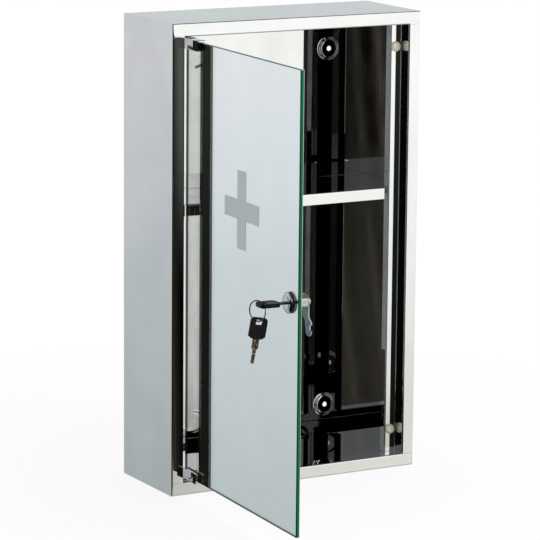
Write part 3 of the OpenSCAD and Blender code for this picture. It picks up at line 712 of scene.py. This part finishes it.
def glass_pane(clear, edge, silver, film):
    """The pane is clear in front of its silver, and its green edges have a fine arris.

    Glass bends light, so its silver seems to lie less deep than the pane is thick, and so does the
    cross. The silver layer stands for that look and rides with the door.
    """
    bm = merged("door_glass")
    ease(bm, corners(bm, 60.0, FACET_L), ARRIS, 2)
    for face in bm.faces:
        face.material_index = 0 if face.normal.dot(INTO) < -FLAT else 1
    seat(piece("glass_pane", bm, clear, edge, crease=30.0), "door_glass")

    bm = merged("door_glass")
    bmesh.ops.transform(bm, matrix=LOCK.inverted(), verts=bm.verts)
    low, high = ([pick(v.co[i] for v in bm.verts) for i in range(3)] for pick in (min, max))
    for vert in bm.verts:
        for i in (0, 2):
            vert.co[i] = min(max(vert.co[i], low[i] + INSIDE * MM), high[i] - INSIDE * MM)
        vert.co.y = SILVER_DEPTH * MM if vert.co.y < high[1] / 2 else (GLASS_T - INSIDE) * MM
    bmesh.ops.transform(bm, matrix=LOCK, verts=bm.verts)
    layer = piece("silver_layer", bm, silver, crease=30.0)
    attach(layer, NODES["mirror_coat"]["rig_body"])

    bm = merged("cross")
    bmesh.ops.translate(bm, verts=bm.verts, vec=INTO * (SILVER_DEPTH - INSIDE) * MM)
    seat(piece("cross_in_silver", bm, film, crease=30.0), "cross")


def door(bright, zinc, rubber, paint):
    """The mirror's backing, and the hinge clamps with their pins, screws and liners."""
    dress(paint, "mirror_coat")
    for node in ("top_clamp", "bottom_clamp"):
        eased_copy(node, bright, segments=3)
    for node in ("top_pivot_pin", "bottom_pivot_pin", "clamp_screws"):
        eased_copy(node, zinc)
    dress(rubber, "top_liner", "bottom_liner")


# ---- lock ----

def lock_shell(bright, warm):
    """The lock's head with its two rings, and the barrel with its thread cut by two flats."""
    ring = [(BORE_R, LIP_BACK), (LIP_R, LIP_BACK), (LIP_R, HEAD_FRONT + LIP_EASE),
            (LIP_R + LIP_EASE, HEAD_FRONT)]
    ring += [(radius, HEAD_FRONT + behind) for radius, behind in HEAD_FACE]
    ring += [(HEAD_R, HEAD_BACK - HEAD_EASE), (HEAD_R - HEAD_EASE, HEAD_BACK),
             (BARREL_R, HEAD_BACK)]
    thread = []
    depth = THREAD_START
    while depth < BARREL_END - THREAD_PITCH:
        thread.append((BARREL_R, depth))
        thread += [(BARREL_R - THREAD_DEPTH, depth + part * THREAD_PITCH) for part in THREAD_ROOT]
        depth += THREAD_PITCH
    tail = [(BARREL_R, BARREL_END - BARREL_EASE), (BARREL_R - BARREL_EASE, BARREL_END),
            (BORE_R, BARREL_END)]
    bm = turned(ring + thread + tail)
    half = BARREL_FLATS / 2 * MM
    for vert in bm.verts:
        if vert.co.y > (HEAD_BACK + NEAR) * MM:
            vert.co.x = max(-half, min(half, vert.co.x))
    for face in bm.faces:
        face.material_index = 0 if face.calc_center_median().y < HEAD_BACK * MM else 1
    bmesh.ops.transform(bm, matrix=LOCK, verts=bm.verts)
    seat(piece("lock_shell", bm, bright, warm, crease=24.0), "lock_body")


def lock_plug(bright):
    """The plug, with a wide chamfer round the mouth of its keyway."""
    bm = merged("lock_plug")
    front = (HEAD_FRONT - PLUG_PROUD) * MM
    local = LOCK.inverted()

    def at_mouth(point):
        return (abs(point.y - front) < NEAR * MM
                and math.hypot(point.x, point.z) < MOUTH_R * MM)

    mouth = [e for e in corners(bm, 60.0) if all(at_mouth(local @ v.co) for v in e.verts)]
    ease(bm, mouth, MOUTH_EASE, 2)
    seat(piece("plug_finished", bm, bright, crease=35.0), "lock_plug")


def lock(bright, warm, zinc, rubber):
    """The lock in the glass, with its nut and washers, and the cam on its plug."""
    lock_shell(bright, warm)
    lock_plug(bright)
    eased_copy("lock_nut", bright)
    for node in ("lock_washer", "cam", "cam_washer", "cam_screw"):
        eased_copy(node, zinc)
    dress(rubber, "lock_gasket")


# ---- keys ----

def blade_outline():
    """A key's blade: a wide root, then a narrower stem with cuts down both sides."""
    side = [(BLADE_W / 2, -BLADE_IN_BOW), (BLADE_W / 2, ROOT_L), (STEM_R, ROOT_L + ROOT_SLOPE)]
    for i, cut in enumerate(CUTS):
        start = ROOT_L + CUT_START + i * CUT_PITCH
        side.append((STEM_R, start))
        side += [(half, start + way)
                 for half, way in zip((STEM_R - cut, STEM_R - cut, STEM_R), CUT_ENDS)]
    side += [(STEM_R, BLADE_L - TIP_L), (TIP_R, BLADE_L)]
    return side + [(-x, y) for x, y in reversed(side)]


def key_blade(name, place, node, metal):
    """A key's blade with a groove down the middle of each face."""
    bm = plate(blade_outline(), BLADE_T)
    for x in (-GROOVE_R, GROOVE_R):
        bmesh.ops.bisect_plane(bm, geom=bm.verts[:] + bm.edges[:] + bm.faces[:], dist=1e-7,
                               plane_co=(x * MM, 0, 0), plane_no=(1, 0, 0))
    grooves = [f for f in bm.faces if abs(f.normal.z) > FLAT
               and abs(f.calc_center_median().x) < (GROOVE_R - NEAR) * MM]
    bmesh.ops.inset_region(bm, faces=grooves, thickness=GROOVE_WALL * MM, depth=-GROOVE_DEPTH * MM,
                           use_boundary=True, use_even_offset=True)
    ease(bm, corners(bm, 60.0, 0.5), BLADE_EASE, 1)
    bmesh.ops.transform(bm, matrix=place, verts=bm.verts)
    seat(piece(name, bm, metal, crease=35.0), node)


def key_bow(name, place, node, plastic):
    """A key's moulded head: rounded rim, slot for the ring, and a sunk panel on each face."""
    half, end, top = BOW_W / 2, -BOW_L, -BOW_SHOULDER * 0.6
    bm = bmesh.new()

    def loop(points):
        verts = [bm.verts.new((x * MM, y * MM, -BOW_T / 2 * MM)) for x, y in points]
        for pair in zip(verts, verts[1:] + verts[:1]):
            bm.edges.new(pair)

    arc = [(math.cos(a) * BOW_CORNER, math.sin(a) * BOW_CORNER)
           for a in (math.radians(270 + 15 * i) for i in range(7))]
    right = [(half - BOW_CORNER + x, end + BOW_CORNER + y) for x, y in arc]
    right += [(half, top), (half - BOW_SHOULDER, 0)]
    loop(right + [(-x, y) for x, y in reversed(right)])
    low, high, wide = end + BAR_H, end + BAR_H + SLOT_H, SLOT_W / 2
    loop([(-wide, low), (wide, low), (wide, high), (-wide, high)])
    filled = bmesh.ops.triangle_fill(bm, use_beauty=True, use_dissolve=False, edges=bm.edges[:])
    base = [f for f in filled["geom"] if isinstance(f, bmesh.types.BMFace)]
    grown = bmesh.ops.extrude_face_region(bm, geom=base)
    bmesh.ops.translate(bm, verts=lifted(grown), vec=(0, 0, BOW_T * MM))
    bmesh.ops.recalc_face_normals(bm, faces=bm.faces)
    ease(bm, corners(bm, 60.0), BOW_EASE, 4)
    for side in (-1, 1):
        flats = [f for f in bm.faces if f.normal.z * side > FLAT]
        for inward, down in ((PANEL_RIM, 0), (PANEL_WALL, PANEL_DEPTH)):
            bmesh.ops.inset_region(bm, faces=flats, thickness=inward * MM, depth=-down * MM,
                                   use_boundary=True, use_even_offset=True)
    bmesh.ops.transform(bm, matrix=place, verts=bm.verts)
    seat(piece(name, bm, plastic, crease=30.0), node)


def split_ring(metal):
    """Two flat coils of wire that lie on each other, with their ends apart."""
    rise = (COIL_T + COIL_GAP) * COIL_TURNS * MM
    bm = bmesh.new()
    bmesh.ops.create_circle(bm, cap_ends=True, segments=12, radius=0.5 * MM)
    bmesh.ops.scale(bm, verts=bm.verts, vec=(COIL_W, COIL_T, 1))
    bmesh.ops.translate(bm, verts=bm.verts, vec=(RING_R * MM, -rise / 2, 0))
    bmesh.ops.spin(bm, geom=bm.faces[:], cent=(0, 0, 0), axis=(0, 1, 0),
                   angle=math.tau * COIL_TURNS, dvec=(0, rise / COIL_STEPS, 0), steps=COIL_STEPS,
                   use_merge=False)
    bmesh.ops.remove_doubles(bm, verts=bm.verts, dist=1e-7)
    bmesh.ops.recalc_face_normals(bm, faces=bm.faces)
    bmesh.ops.transform(bm, matrix=RING, verts=bm.verts)
    seat(piece("split_ring", bm, metal, crease=50.0), "key_ring")


def keys(plastic, brass, warm):
    """The key in the lock, and the spare that hangs on the same ring."""
    key_blade("key_in_lock", KEY, "key_blade", brass)
    key_bow("key_head", KEY, "key_bow", plastic)
    key_blade("spare_key", SPARE, "spare_key_blade", brass)
    key_bow("spare_key_head", SPARE, "spare_key_bow", plastic)
    split_ring(warm)


# ---- the whole ----

look()
studio()
bright, warm, zinc, rubber = chrome(), nickel(), zinc_plate(), black_rubber()
cabinet(polished_sheet(), bright_sheet(), soft_pvc(), nylon())
glass_pane(clear_glass(), glass_edge_with_painted_light(), silvering(), etched_film())
door(bright, zinc, rubber, backing_paint())
lock(bright, warm, zinc, rubber)
keys(black_abs(), key_brass(), warm)
